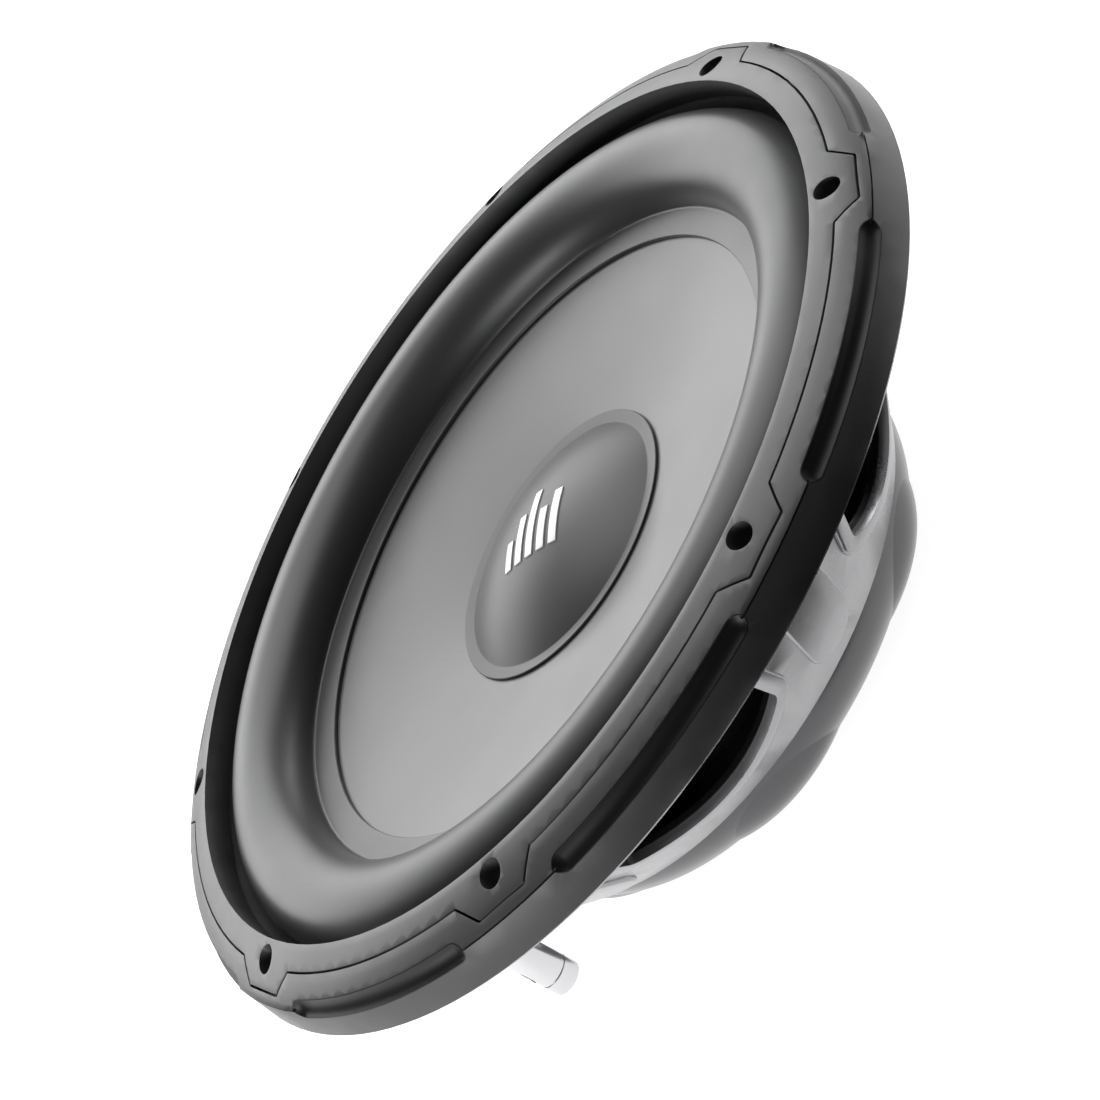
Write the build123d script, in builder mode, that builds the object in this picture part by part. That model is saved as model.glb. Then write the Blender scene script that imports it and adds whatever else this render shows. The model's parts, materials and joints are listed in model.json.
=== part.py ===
from build123d import *
import os
from math import cos, radians, sin, sqrt, tan

# A shallow 10-inch car subwoofer, in millimetres. The speaker lies on its magnet: +Z is the axis
# the cone moves along, z = 0 is the motor's back face, and one mounting hole lies on +X.

# ---------------------------------------------------------------- driving dimensions
bolt_circle_r = 125.0       # mounting holes
bolt_hole_r = 3.55
bolt_count = 8
basket_depth = 41.0         # from the basket's floor to the back of its flange

rim_margin = 11.3           # flange edge beyond the bolt circle
flange_t = 1.8
flange_inset = 0.6          # the trim ring hangs over the flange's edge
edge_reveal = 0.7           # and leaves this much of it bare
rim_rise = 14.2             # front face at the bolt circle, above the flange
rim_inner_lift = 1.06       # the front face is domed: its inner edge stands higher
rim_outer_drop = 5.0        # and its outer edge lower
rim_side_taper = 1.5
seam_width = 0.5            # groove along the rim's shoulder
seam_depth = 0.8
clamp_margin_in = 5.0       # clamp ring's bore inside the bolt circle
clamp_margin_out = 1.4
clamp_depth = 6.9
tab_reach = 6.8             # trapezoid tabs around the mounting holes
tab_top_half = 8.0
tab_slope = 0.89
ring_gap = 0.6              # visible gap between the two front rings
cove_r = 4.2
cove_out = 1.9              # cove's centre line outside the rim's edge
cove_drop = 3.75            # and below the front face
cove_share = 0.62           # of the way between two holes
body_margin = 10.0          # basket body inside the bolt circle
wall_t = 3.0
window_count = 6
window_centre_share = 0.6   # of the wall's rise
window_foot_share = 0.387   # below the centre, as shares of the wall's length
window_shoulder_share = 0.246
window_head_share = 0.317   # above the centre
window_low_share = 0.275    # half widths, as shares of the wall's radius
window_high_share = 0.325
window_corner_r = 5.0
window_cut = 8.0
frame_width = 4.5
frame_height = 1.4
frame_round = 0.9
pad_half = 9.0
pad_foot_z = 27.0

surround_t = 1.2
roll_r = 13.1
roll_clearance = 1.65
lip_width = 5.1
lip_clearance = 0.3
lip_cover = 7.9             # surround's inner lip on the cone
cone_t = 1.2
cone_slope = 7.7            # degrees
neck_length = 7.0
dust_cap_r = 38.0
dust_cap_band = 3.5
dust_cap_height = 9.0
skin_t = 0.8                # dust cap and spider

coil_r = 25.0               # inside of the coil former
former_t = 0.45
winding_t = 1.55
winding_length = 18.0
gap_clearance = 0.6         # each side of the moving coil
travel = 8.0                # cone travel each way

bump_r = 40.0
bump_t = 3.0
plate_r = 57.0
plate_t = 5.0
magnet_r = 59.5
magnet_t = 14.0
top_plate_r = 58.0
top_plate_t = 7.0
vent_r = 9.0
floor_t = 2.5
skirt_drop = 7.1            # basket skirt below the floor
skirt_margin = 18.0         # skirt radius beyond the magnet
cover_bottom_z = 4.5
cover_t = 2.3
lobe_reach = 3.3
lobe_half_angle = 17.0      # where a lobe has faded out, about its basket bay's middle
motor_screw_r = 2.45
motor_screw_circle_r = 50.0
motor_screw_count = 6

spider_rise = 10.5          # spider seat above the basket's floor
spider_seat = 6.0
spider_waves = 6
spider_amplitude = 1.5
collar_height = 3.0         # of the spider on the former

post_spacing = 37.6
post_tuck = 0.41            # posts under the slope of the wall, at their block's foot
post_r = 4.8
stud_r = 2.0
plunger_r = 3.25
button_r = 2.6
running_clearance = 0.05
wire_hole_r = 1.4
shelf_drop = 25.0           # terminal shelf below the flange
shelf_t = 3.0
block_t = 5.0
barrel_seat = 3.0           # barrels let into the block
block_width = 16.0
block_clearance = 0.3
block_side = 7.0            # block beyond each post
lead_r = 1.0

glue_gap = 0.05

# ---------------------------------------------------------------- levels and radii that follow
plate_top_z = bump_t + plate_t
magnet_top_z = plate_top_z + magnet_t
floor_z = magnet_top_z + top_plate_t
floor_top_z = floor_z + floor_t
flange_z = floor_z + basket_depth
flange_top_z = flange_z + flange_t
front_z = flange_top_z + rim_rise

rim_r = bolt_circle_r + rim_margin
flange_r = rim_r - flange_inset
body_r = bolt_circle_r - body_margin
skirt_r = magnet_r + skirt_margin
skirt_z = floor_z - skirt_drop
wall_run = body_r - skirt_r
wall_rise = flange_z - skirt_z
wall_length = sqrt(wall_run**2 + wall_rise**2)


def wall_radius(z):
    """Outer radius of the basket's sloping wall at a height."""
    return skirt_r + (z - skirt_z) * wall_run / wall_rise


clamp_bore_r = bolt_circle_r - clamp_margin_in
clamp_outer_r = bolt_circle_r + clamp_margin_out
clamp_seat_z = front_z - clamp_depth
surround_outer_r = clamp_bore_r - roll_clearance
roll_centre_r = surround_outer_r - roll_r
roll_z = flange_top_z + 0.75 * surround_t
lip_top_z = flange_top_z + surround_t
lip_outer_r = surround_outer_r + lip_width
cone_edge_r = roll_centre_r - roll_r
cone_edge_z = roll_z - surround_t
former_r = coil_r + former_t
winding_r = former_r + winding_t
pole_r = coil_r - gap_clearance
gap_outer_r = winding_r + gap_clearance
gap_z = magnet_top_z + top_plate_t / 2
winding_z = gap_z - winding_length / 2
former_z = winding_z - 1.0
groove_z = former_z - travel - 2.0


def cone_top(radius):
    """Height of the cone's front face at a radius."""
    return cone_edge_z - (cone_edge_r - radius) * tan(radians(cone_slope))


neck_z = cone_top(former_r) - neck_length
spider_z = floor_top_z + spider_rise
spider_outer_r = skirt_r - 7.0
bolt_angles = 360 / bolt_count
window_angles = 360 / window_count

os.makedirs("parts", exist_ok=True)


def save(builder, label):
    """Labels a finished piece and writes it."""
    builder.part.label = label
    export_step(builder.part, f"parts/{label}.step")


def turned(*points):
    """A closed profile of straight lines in the XZ plane, to be revolved about Z."""
    with BuildSketch(Plane.XZ) as profile:
        with BuildLine():
            Polyline(*points, close=True)
        make_face()
    return profile.sketch


# ---------------------------------------------------------------- basket
with BuildPart() as basket:
    with BuildSketch(Plane.XZ):
        with BuildLine():
            Polyline(
                (winding_r + 3.0, floor_z),
                (wall_radius(floor_z) - wall_t - 1.0, floor_z),
                (skirt_r - wall_t, skirt_z),
                (skirt_r, skirt_z),
                (body_r, flange_z),
                (flange_r, flange_z),
                (flange_r, flange_top_z),
                (body_r - wall_t, flange_top_z),
                (wall_radius(floor_top_z) - wall_t - 1.0, floor_top_z),
                (spider_outer_r, floor_top_z),
                (spider_outer_r, spider_z),
                (spider_outer_r - spider_seat, spider_z),
                (spider_outer_r - spider_seat, floor_top_z),
                (winding_r + 3.0, floor_top_z),
                close=True,
            )
        make_face()
    revolve(axis=Axis.Z)

# a window and its raised frame, seen square to the wall
window_centre_z = skirt_z + window_centre_share * wall_rise
wall_plane = Plane(
    origin=(wall_radius(window_centre_z), 0, window_centre_z),
    x_dir=(0, 1, 0),
    z_dir=(wall_rise, 0, -wall_run),
)
window_foot = window_foot_share * wall_length
window_shoulder = window_shoulder_share * wall_length
window_head = window_head_share * wall_length
window_low_half = window_low_share * wall_radius(window_centre_z)
window_high_half = window_high_share * wall_radius(window_centre_z)


def window_outline(outset):
    """The window's rounded outline, or that of its frame with an outset."""
    with BuildSketch(wall_plane) as outline:
        with BuildLine():
            ThreePointArc(
                (-window_low_half, -window_shoulder),
                (0, -window_foot),
                (window_low_half, -window_shoulder),
            )
            Polyline(
                (window_low_half, -window_shoulder),
                (window_high_half, window_head),
                (-window_high_half, window_head),
                (-window_low_half, -window_shoulder),
            )
        make_face()
        fillet(outline.vertices(), radius=window_corner_r)
        if outset:
            offset(amount=outset, mode=Mode.REPLACE)
    return outline.sketch


with BuildPart() as window:
    extrude(window_outline(0), amount=window_cut, both=True)

frame_foot_z = skirt_z + 1.0
frame_edge_r = body_r - 0.3
with BuildPart() as frame_band:
    revolve(
        turned(
            (skirt_r - 1.0, frame_foot_z),
            (wall_radius(frame_foot_z) + frame_height, frame_foot_z),
            (frame_edge_r, flange_z - (frame_height + 0.3) * wall_rise / wall_run),
            (frame_edge_r, flange_z),
            (body_r - 1.0, flange_z),
        ),
        axis=Axis.Z,
    )


def raised_edges(builder):
    """Edges of the outer face, but not where it meets the flange."""
    outer = builder.faces().filter_by(GeomType.CONE).sort_by(Axis.X)[-1]
    return [edge for edge in outer.edges() if edge.center().Z < flange_z - 3 * frame_height]


with BuildPart() as window_frame:
    extrude(window_outline(frame_width), amount=window_cut, both=True)
    add(frame_band.part, mode=Mode.INTERSECT)
    fillet(raised_edges(window_frame), radius=frame_round)

# a low rounded pad on each rib between two windows
pad_foot = (pad_foot_z - window_centre_z) * wall_length / wall_rise
with BuildPart() as rib_pad:
    with BuildSketch(wall_plane):
        with Locations((0, pad_foot + pad_half)):
            Circle(pad_half)
            Rectangle(2 * pad_half, wall_length, align=(Align.CENTER, Align.MIN))
    extrude(amount=window_cut, both=True)
    add(frame_band.part, mode=Mode.INTERSECT)
    fillet(raised_edges(rib_pad), radius=frame_round)

# the bay at the back has no window: a boxed pocket there carries the terminals on a flat shelf
shelf_z = flange_z - shelf_drop
shelf_top_z = shelf_z + shelf_t
block_z = shelf_z - block_t
post_x = -(wall_radius(block_z) + post_r - post_tuck)
pocket_half = post_spacing / 2 + block_side + wall_t
pocket_far_x = post_x - block_width / 2 - wall_t
pocket_near_x = post_x + block_width / 2

with BuildPart() as pocket:
    with BuildSketch(Plane.XY.offset(shelf_z)):
        with Locations(((pocket_far_x + pocket_near_x) / 2, 0)):
            Rectangle(pocket_near_x - pocket_far_x, 2 * pocket_half)
    extrude(amount=flange_z - shelf_z)
    revolve(
        turned(
            (0, shelf_top_z),
            (wall_radius(shelf_top_z) - wall_t, shelf_top_z),
            (body_r - wall_t, flange_z),
            (0, flange_z),
        ),
        axis=Axis.Z,
        mode=Mode.SUBTRACT,
    )

with BuildPart() as pocket_space:
    with BuildSketch(Plane.XY.offset(shelf_top_z)):
        with Locations((pocket_far_x + wall_t, 0)):
            Rectangle(
                2 * block_width,
                2 * (pocket_half - wall_t),
                align=(Align.MIN, Align.CENTER),
            )
    extrude(amount=flange_z - shelf_top_z)

with basket:
    with PolarLocations(0, window_count, window_angles / 2):
        add(rib_pad.part)
    with PolarLocations(0, window_count - 1, window_angles - 180, 360 - 2 * window_angles, endpoint=True):
        add(window_frame.part)
    with PolarLocations(0, window_count - 1, window_angles - 180, 360 - 2 * window_angles, endpoint=True):
        add(window.part, mode=Mode.SUBTRACT)
    add(pocket.part)
    add(pocket_space.part, mode=Mode.SUBTRACT)
    with BuildSketch(Plane.XY.offset(shelf_z)):
        with Locations((post_x, -post_spacing / 2), (post_x, post_spacing / 2)):
            Circle(stud_r + running_clearance)
    extrude(amount=shelf_t, mode=Mode.SUBTRACT)
    # the terminal block sits let into the wall under the shelf
    with BuildSketch(Plane.XY.offset(block_z - block_clearance)):
        with Locations((post_x, 0)):
            Rectangle(
                block_width + 2 * block_clearance,
                post_spacing + 2 * (block_side + block_clearance),
            )
    extrude(amount=block_t + block_clearance, mode=Mode.SUBTRACT)
    with BuildSketch(Plane.XY.offset(flange_z)):
        with PolarLocations(bolt_circle_r, bolt_count):
            Circle(bolt_hole_r)
    extrude(amount=flange_t, mode=Mode.SUBTRACT)
    with BuildSketch(Plane.XY.offset(floor_z)):
        with PolarLocations(motor_screw_circle_r, motor_screw_count, 30):
            Circle(motor_screw_r + 0.2)
    extrude(amount=floor_t, mode=Mode.SUBTRACT)
save(basket, "basket")

# ---------------------------------------------------------------- front rings
rim_edge_r = rim_r - rim_side_taper
rim_front_arc = (
    (clamp_bore_r, front_z + rim_inner_lift),
    ((clamp_bore_r + rim_edge_r) / 2, front_z - 0.9),
    (rim_edge_r, front_z - rim_outer_drop),
)

with BuildPart() as rim_blank:
    with BuildSketch(Plane.XZ):
        with BuildLine():
            ThreePointArc(*rim_front_arc)
            Polyline(
                (rim_edge_r, front_z - rim_outer_drop),
                (rim_r, flange_z + edge_reveal),
                (flange_r + glue_gap, flange_z + edge_reveal),
                (flange_r + glue_gap, flange_top_z),
                (lip_outer_r + lip_clearance, flange_top_z),
                (lip_outer_r + lip_clearance, lip_top_z),
                (surround_outer_r + 0.9, lip_top_z),
                (clamp_bore_r + 0.75, clamp_seat_z),
                (clamp_bore_r, clamp_seat_z),
                (clamp_bore_r, front_z + rim_inner_lift),
            )
        make_face()
    revolve(axis=Axis.Z)
    with BuildSketch(Plane.XY.offset(flange_top_z)):
        with PolarLocations(bolt_circle_r, bolt_count):
            Circle(bolt_hole_r)
    extrude(amount=rim_rise + clamp_depth, mode=Mode.SUBTRACT)


def clamp_outline(outset):
    """The clamp ring seen from the front: a disc with a trapezoid tab at each mounting hole."""
    root = tab_reach + 2.0
    with BuildSketch(Plane.XY.offset(clamp_seat_z)) as outline:
        Circle(clamp_outer_r)
        with PolarLocations(bolt_circle_r, bolt_count):
            Polygon(
                (tab_reach - root, -tab_top_half - root * tab_slope),
                (tab_reach, -tab_top_half),
                (tab_reach, tab_top_half),
                (tab_reach - root, tab_top_half + root * tab_slope),
                align=None,
            )
        fillet(outline.vertices(), radius=0.8)
        if outset:
            offset(amount=outset, mode=Mode.REPLACE)
    return outline.sketch


with BuildPart() as clamp_ring:
    extrude(clamp_outline(0), amount=clamp_depth + 4.0)
    add(rim_blank.part, mode=Mode.INTERSECT)
save(clamp_ring, "clamp_ring")

# coves in the outer ring's shoulder, midway between the holes, with rounded ends
cove_circle_r = rim_edge_r + cove_out
cove_z = front_z - cove_drop
cove_half_angle = cove_share * bolt_angles / 2

with BuildPart() as cove:
    with BuildSketch(Plane.XZ):
        with Locations((cove_circle_r, cove_z)):
            Circle(cove_r)
    revolve(axis=Axis.Z, revolution_arc=2 * cove_half_angle)
    with PolarLocations(cove_circle_r, 2, 0, 2 * cove_half_angle, endpoint=True):
        with Locations((0, 0, cove_z)):
            Sphere(cove_r)

with BuildPart() as trim_ring:
    add(rim_blank.part)
    extrude(clamp_outline(ring_gap), amount=clamp_depth + 4.0, mode=Mode.SUBTRACT)
    with PolarLocations(0, bolt_count, bolt_angles / 2 - cove_half_angle):
        add(cove.part, mode=Mode.SUBTRACT)
    revolve(
        turned(
            (rim_edge_r + 1.0, front_z - rim_outer_drop),
            (rim_edge_r - seam_depth, front_z - rim_outer_drop),
            (rim_edge_r - seam_depth, front_z - rim_outer_drop - seam_width),
            (rim_edge_r + 1.0, front_z - rim_outer_drop - seam_width),
        ),
        axis=Axis.Z,
        mode=Mode.SUBTRACT,
    )
save(trim_ring, "trim_ring")

# ---------------------------------------------------------------- moving assembly
roll_inside_r = roll_r - surround_t
lip_rise = sqrt(roll_r**2 - (lip_top_z - roll_z)**2)
lip_inner_r = cone_edge_r - lip_cover
cone_outer_r = cone_edge_r + 0.8

with BuildPart() as surround:
    with BuildSketch(Plane.XZ):
        with BuildLine():
            Polyline(
                (roll_centre_r + roll_inside_r, roll_z),
                (roll_centre_r + roll_inside_r, flange_top_z),
                (lip_outer_r, flange_top_z),
                (lip_outer_r, lip_top_z),
                (roll_centre_r + lip_rise, lip_top_z),
            )
            ThreePointArc(
                (roll_centre_r + lip_rise, lip_top_z),
                (roll_centre_r, roll_z + roll_r),
                (cone_edge_r, roll_z),
            )
            Polyline(
                (cone_edge_r, roll_z),
                (lip_inner_r, cone_top(lip_inner_r) + surround_t),
                (lip_inner_r, cone_top(lip_inner_r)),
                (roll_centre_r - roll_inside_r, cone_top(roll_centre_r - roll_inside_r)),
                (roll_centre_r - roll_inside_r, roll_z),
            )
            ThreePointArc(
                (roll_centre_r - roll_inside_r, roll_z),
                (roll_centre_r, roll_z + roll_inside_r),
                (roll_centre_r + roll_inside_r, roll_z),
            )
        make_face()
    revolve(axis=Axis.Z)
    with BuildSketch(Plane.XY.offset(flange_top_z)):
        with PolarLocations(bolt_circle_r, bolt_count):
            Circle(bolt_hole_r + 0.4)
    extrude(amount=surround_t, mode=Mode.SUBTRACT)
save(surround, "surround")

with BuildPart() as cone:
    revolve(
        turned(
            (former_r, cone_top(former_r)),
            (cone_outer_r, cone_top(cone_outer_r)),
            (cone_outer_r, cone_top(cone_outer_r) - cone_t),
            (former_r + cone_t + 1.5, cone_top(former_r + cone_t + 1.5) - cone_t),
            (former_r + cone_t, cone_top(former_r + cone_t) - cone_t - 1.5),
            (former_r + cone_t, neck_z),
            (former_r, neck_z),
        ),
        axis=Axis.Z,
    )
save(cone, "cone")

dome_r = dust_cap_r - dust_cap_band
dome_foot_z = cone_top(dome_r)
dome_top_z = dome_foot_z + skin_t + dust_cap_height
dome_sphere_r = (dome_r**2 + dust_cap_height**2) / (2 * dust_cap_height)


def dome_height(radius):
    """Height of the dome's outer face at a radius."""
    return dome_top_z - dome_sphere_r + sqrt(dome_sphere_r**2 - radius**2)


with BuildPart() as dust_cap:
    with BuildSketch(Plane.XZ):
        with BuildLine():
            ThreePointArc(
                (0, dome_top_z),
                (dome_r / 2, dome_height(dome_r / 2)),
                (dome_r, dome_foot_z + skin_t),
            )
            Polyline(
                (dome_r, dome_foot_z + skin_t),
                (dust_cap_r, cone_top(dust_cap_r) + skin_t),
                (dust_cap_r, cone_top(dust_cap_r)),
                (dome_r, dome_foot_z),
            )
            ThreePointArc(
                (dome_r, dome_foot_z),
                (dome_r / 2, dome_height(dome_r / 2) - skin_t),
                (0, dome_top_z - skin_t),
            )
            Line((0, dome_top_z - skin_t), (0, dome_top_z))
        make_face()
    revolve(axis=Axis.Z)
save(dust_cap, "dust_cap")

# raised level-meter bars on the dome
badge_t = 0.3
bar_width = 2.6
bar_pitch = 4.4
bar_heights = (9.0, 15.0, 21.0, 13.0, 17.0)
bar_foot = -9.0
bar_turn = -57.0

with BuildPart() as badge:
    with BuildSketch(Plane.XY.offset(dome_foot_z).rotated((0, 0, bar_turn))):
        for place, height in enumerate(bar_heights):
            with Locations(((place - 2) * bar_pitch, bar_foot + height / 2)):
                Rectangle(bar_width, height)
    extrude(amount=2 * dust_cap_height)
    with BuildSketch(Plane.XZ):
        with BuildLine():
            ThreePointArc(
                (0, dome_top_z),
                (dome_r / 2, dome_height(dome_r / 2)),
                (dome_r, dome_height(dome_r)),
            )
            Line((dome_r, dome_height(dome_r)), (dome_r, dome_height(dome_r) + badge_t))
            ThreePointArc(
                (dome_r, dome_height(dome_r) + badge_t),
                (dome_r / 2, dome_height(dome_r / 2) + badge_t),
                (0, dome_top_z + badge_t),
            )
            Line((0, dome_top_z + badge_t), (0, dome_top_z))
        make_face()
    revolve(axis=Axis.Z, mode=Mode.INTERSECT)
save(badge, "badge")

with BuildPart() as coil_former:
    revolve(
        turned(
            (coil_r, former_z),
            (former_r, former_z),
            (former_r, cone_top(former_r)),
            (coil_r, cone_top(former_r)),
        ),
        axis=Axis.Z,
    )
save(coil_former, "coil_former")

with BuildPart() as voice_coil:
    revolve(
        turned(
            (former_r, winding_z),
            (winding_r, winding_z),
            (winding_r, winding_z + winding_length),
            (former_r, winding_z + winding_length),
        ),
        axis=Axis.Z,
    )
save(voice_coil, "voice_coil")

# the spider is a corrugated disc between the former and its seat on the basket
hub_r = former_r + 2.5
wave_end_r = spider_outer_r - spider_seat - 0.5
wave_steps = 8 * spider_waves


def spider_wave(step):
    """Radius and height of the corrugated face at one step from the hub to the seat."""
    share = step / wave_steps
    swing = spider_amplitude * sin(share * spider_waves * radians(360))
    return hub_r + share * (wave_end_r - hub_r), spider_z + skin_t + swing


upper_wave = [spider_wave(step) for step in range(wave_steps + 1)]
lower_wave = [(radius, height - skin_t) for radius, height in reversed(upper_wave)]

with BuildPart() as spider:
    with BuildSketch(Plane.XZ):
        with BuildLine():
            Spline(*upper_wave)
            Polyline(
                upper_wave[-1],
                (spider_outer_r, spider_z + skin_t),
                (spider_outer_r, spider_z),
                lower_wave[0],
            )
            Spline(*lower_wave)
            Polyline(
                lower_wave[-1],
                (former_r, spider_z),
                (former_r, spider_z + collar_height),
                (former_r + skin_t, spider_z + collar_height),
                (former_r + skin_t, spider_z + skin_t),
                upper_wave[0],
            )
        make_face()
    revolve(axis=Axis.Z)
save(spider, "spider")

# ---------------------------------------------------------------- motor
with BuildPart() as yoke:
    revolve(
        turned(
            (vent_r, 0),
            (bump_r - 1.0, 0),
            (bump_r, 1.0),
            (bump_r, bump_t),
            (plate_r, bump_t),
            (plate_r, plate_top_z),
            (gap_outer_r, plate_top_z),
            (gap_outer_r, groove_z),
            (pole_r, groove_z),
            (pole_r, floor_z - 0.5),
            (pole_r - 1.0, floor_z + 0.5),
            (vent_r + 1.0, floor_z + 0.5),
            (vent_r, floor_z - 0.5),
        ),
        axis=Axis.Z,
    )
save(yoke, "yoke")

magnet_bore_r = gap_outer_r + 8.0
with BuildPart() as magnet:
    with BuildSketch(Plane.XY.offset(plate_top_z)):
        Circle(magnet_r)
        Circle(magnet_bore_r, mode=Mode.SUBTRACT)
    extrude(amount=magnet_t)
    chamfer(magnet.edges().filter_by(GeomType.CIRCLE).sort_by(Axis.Z)[-2:], length=0.8)
save(magnet, "magnet")

with BuildPart() as shorting_ring:
    with BuildSketch(Plane.XY.offset(plate_top_z)):
        Circle(magnet_bore_r - 0.5)
        Circle(gap_outer_r + 1.0, mode=Mode.SUBTRACT)
    extrude(amount=magnet_t - 5.0)
save(shorting_ring, "shorting_ring")

screw_depth = top_plate_t - 1.5
with BuildPart() as top_plate:
    with BuildSketch(Plane.XY.offset(magnet_top_z)):
        Circle(top_plate_r)
        Circle(gap_outer_r, mode=Mode.SUBTRACT)
    extrude(amount=top_plate_t)
    with BuildSketch(Plane.XY.offset(floor_z - screw_depth)):
        with PolarLocations(motor_screw_circle_r, motor_screw_count, 30):
            Circle(motor_screw_r + running_clearance)
    extrude(amount=screw_depth, mode=Mode.SUBTRACT)
save(top_plate, "top_plate")

head_r = 4.2
head_t = 3.2
with BuildPart() as motor_screws:
    with BuildSketch(Plane.XY.offset(floor_z - screw_depth + 0.5)):
        with PolarLocations(motor_screw_circle_r, motor_screw_count, 30):
            Circle(motor_screw_r)
    extrude(amount=screw_depth - 0.5 + floor_t)
    with BuildSketch(Plane.XY.offset(floor_top_z)):
        with PolarLocations(motor_screw_circle_r, motor_screw_count, 30):
            Circle(head_r)
    extrude(amount=head_t)
    with BuildSketch(Plane.XY.offset(floor_top_z + head_t - 2.0)):
        with PolarLocations(motor_screw_circle_r, motor_screw_count, 30):
            RegularPolygon(radius=2.3, side_count=6)
    extrude(amount=2.0, mode=Mode.SUBTRACT)
save(motor_screws, "motor_screws")

# the cover closes the motor's side, with a lobe under each basket bay
cover_top_r = skirt_r - 1.2
cover_foot_r = magnet_r + 0.7 + cover_t
cover_middle_r = (cover_top_r + cover_foot_r) / 2 + 1.8
cover_middle_z = (skirt_z + cover_bottom_z) / 2 - 1.6

with BuildPart() as motor_cover:
    with BuildSketch(Plane.XZ):
        with BuildLine():
            ThreePointArc(
                (cover_foot_r, cover_bottom_z),
                (cover_middle_r, cover_middle_z),
                (cover_top_r, skirt_z),
            )
            Line((cover_top_r, skirt_z), (cover_top_r - cover_t, skirt_z))
            ThreePointArc(
                (cover_top_r - cover_t, skirt_z),
                (cover_middle_r - cover_t, cover_middle_z),
                (cover_foot_r - cover_t, cover_bottom_z),
            )
            Line((cover_foot_r - cover_t, cover_bottom_z), (cover_foot_r, cover_bottom_z))
        make_face()
    revolve(axis=Axis.Z)

# each lobe turns about its own axis, nearer its face, so that it fades into the cover at both ends
lobe_top_r = cover_foot_r + lobe_reach
lobe_fade = cover_foot_r * (1 - cos(radians(lobe_half_angle)))
lobe_axis_x = lobe_reach * (cover_foot_r + lobe_top_r) / (2 * (lobe_reach + lobe_fade))
lobe_head_z = skirt_z - 2.5

with BuildPart() as cover_lobe:
    with BuildSketch(Plane.XZ):
        with BuildLine():
            ThreePointArc(
                (lobe_top_r, cover_bottom_z),
                (cover_middle_r + 0.6 * lobe_reach, cover_middle_z),
                (cover_top_r - 0.8, lobe_head_z),
            )
            Polyline(
                (cover_top_r - 0.8, lobe_head_z),
                (cover_top_r - cover_t, lobe_head_z),
                (lobe_axis_x + 1.0, lobe_head_z),
                (lobe_axis_x + 1.0, cover_bottom_z),
                (lobe_top_r, cover_bottom_z),
            )
        make_face()
    revolve(axis=Axis((lobe_axis_x, 0, 0), (0, 0, 1)), revolution_arc=180)

with BuildPart() as cover_space:
    with BuildSketch(Plane.XZ):
        with BuildLine():
            ThreePointArc(
                (cover_foot_r - 1.0, cover_bottom_z),
                (cover_middle_r - 1.0, cover_middle_z),
                (cover_top_r - 1.0, skirt_z),
            )
            Polyline(
                (cover_top_r - 1.0, skirt_z),
                (0, skirt_z),
                (0, cover_bottom_z),
                (cover_foot_r - 1.0, cover_bottom_z),
            )
        make_face()
    revolve(axis=Axis.Z)

lobe = cover_lobe.part.rotate(Axis((lobe_axis_x, 0, 0), (0, 0, 1)), -90) - cover_space.part
with motor_cover:
    with PolarLocations(0, window_count):
        add(lobe)
save(motor_cover, "motor_cover")

mesh_pitch = 2.6
mesh_hole_r = 0.9
mesh_rows = 2 * int(vent_r / mesh_pitch) + 1
mesh_grid = HexLocations(mesh_pitch / 2, mesh_rows, mesh_rows).locations
mesh_holes = [spot for spot in mesh_grid if spot.position.length < vent_r - 2 * mesh_hole_r + 0.2]
with BuildPart() as vent_screen:
    with BuildSketch(Plane.XY.offset(1.5)):
        Circle(vent_r)
        with Locations(mesh_holes):
            Circle(mesh_hole_r, mode=Mode.SUBTRACT)
    extrude(amount=0.8)
save(vent_screen, "vent_screen")

# ---------------------------------------------------------------- terminals
barrel_top_z = block_z + barrel_seat
barrel_z = shelf_z - 21.1
tip_z = barrel_z - 5.4
ring_t = 2.0
ring_margin = 1.2
slot_z = barrel_z + 2.4
slot_length = 5.8
bore_top_z = barrel_top_z - 3.0
wire_hole_z = barrel_z + 1.7
shoulder_z = tip_z + 3.5
plunger_top_z = wire_hole_z + 3.8
collar_neck = 0.4
nut_t = 3.2
lug_t = 0.8
lug_tail = 10.0
stud_top_z = shelf_top_z + lug_t + nut_t + 1.5

with BuildPart() as terminal_block:
    with BuildSketch(Plane.XY.offset(block_z)):
        with Locations((post_x, 0)):
            RectangleRounded(block_width, post_spacing + 2 * block_side, 4.0)
    extrude(amount=block_t)
    chamfer(terminal_block.faces().sort_by(Axis.Z)[0].edges(), length=1.0)
    with BuildSketch(Plane.XY.offset(block_z)):
        with Locations((post_x, -post_spacing / 2), (post_x, post_spacing / 2)):
            Circle(post_r + running_clearance)
    extrude(amount=barrel_top_z - block_z, mode=Mode.SUBTRACT)
    with BuildSketch(Plane.XY.offset(block_z)):
        with Locations((post_x, -post_spacing / 2), (post_x, post_spacing / 2)):
            Circle(stud_r + running_clearance)
    extrude(amount=block_t, mode=Mode.SUBTRACT)
save(terminal_block, "terminal_block")

tab_angle = 12.0
tab_t = 0.5
tab_gap = 2.5
tab_z = spider_z + collar_height + 2.0
tab_height = neck_z - tab_gap - tab_z
lead_z = shelf_top_z + lug_t + lead_r + glue_gap
lead_start_x = post_x + stud_r + 8.0

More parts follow.
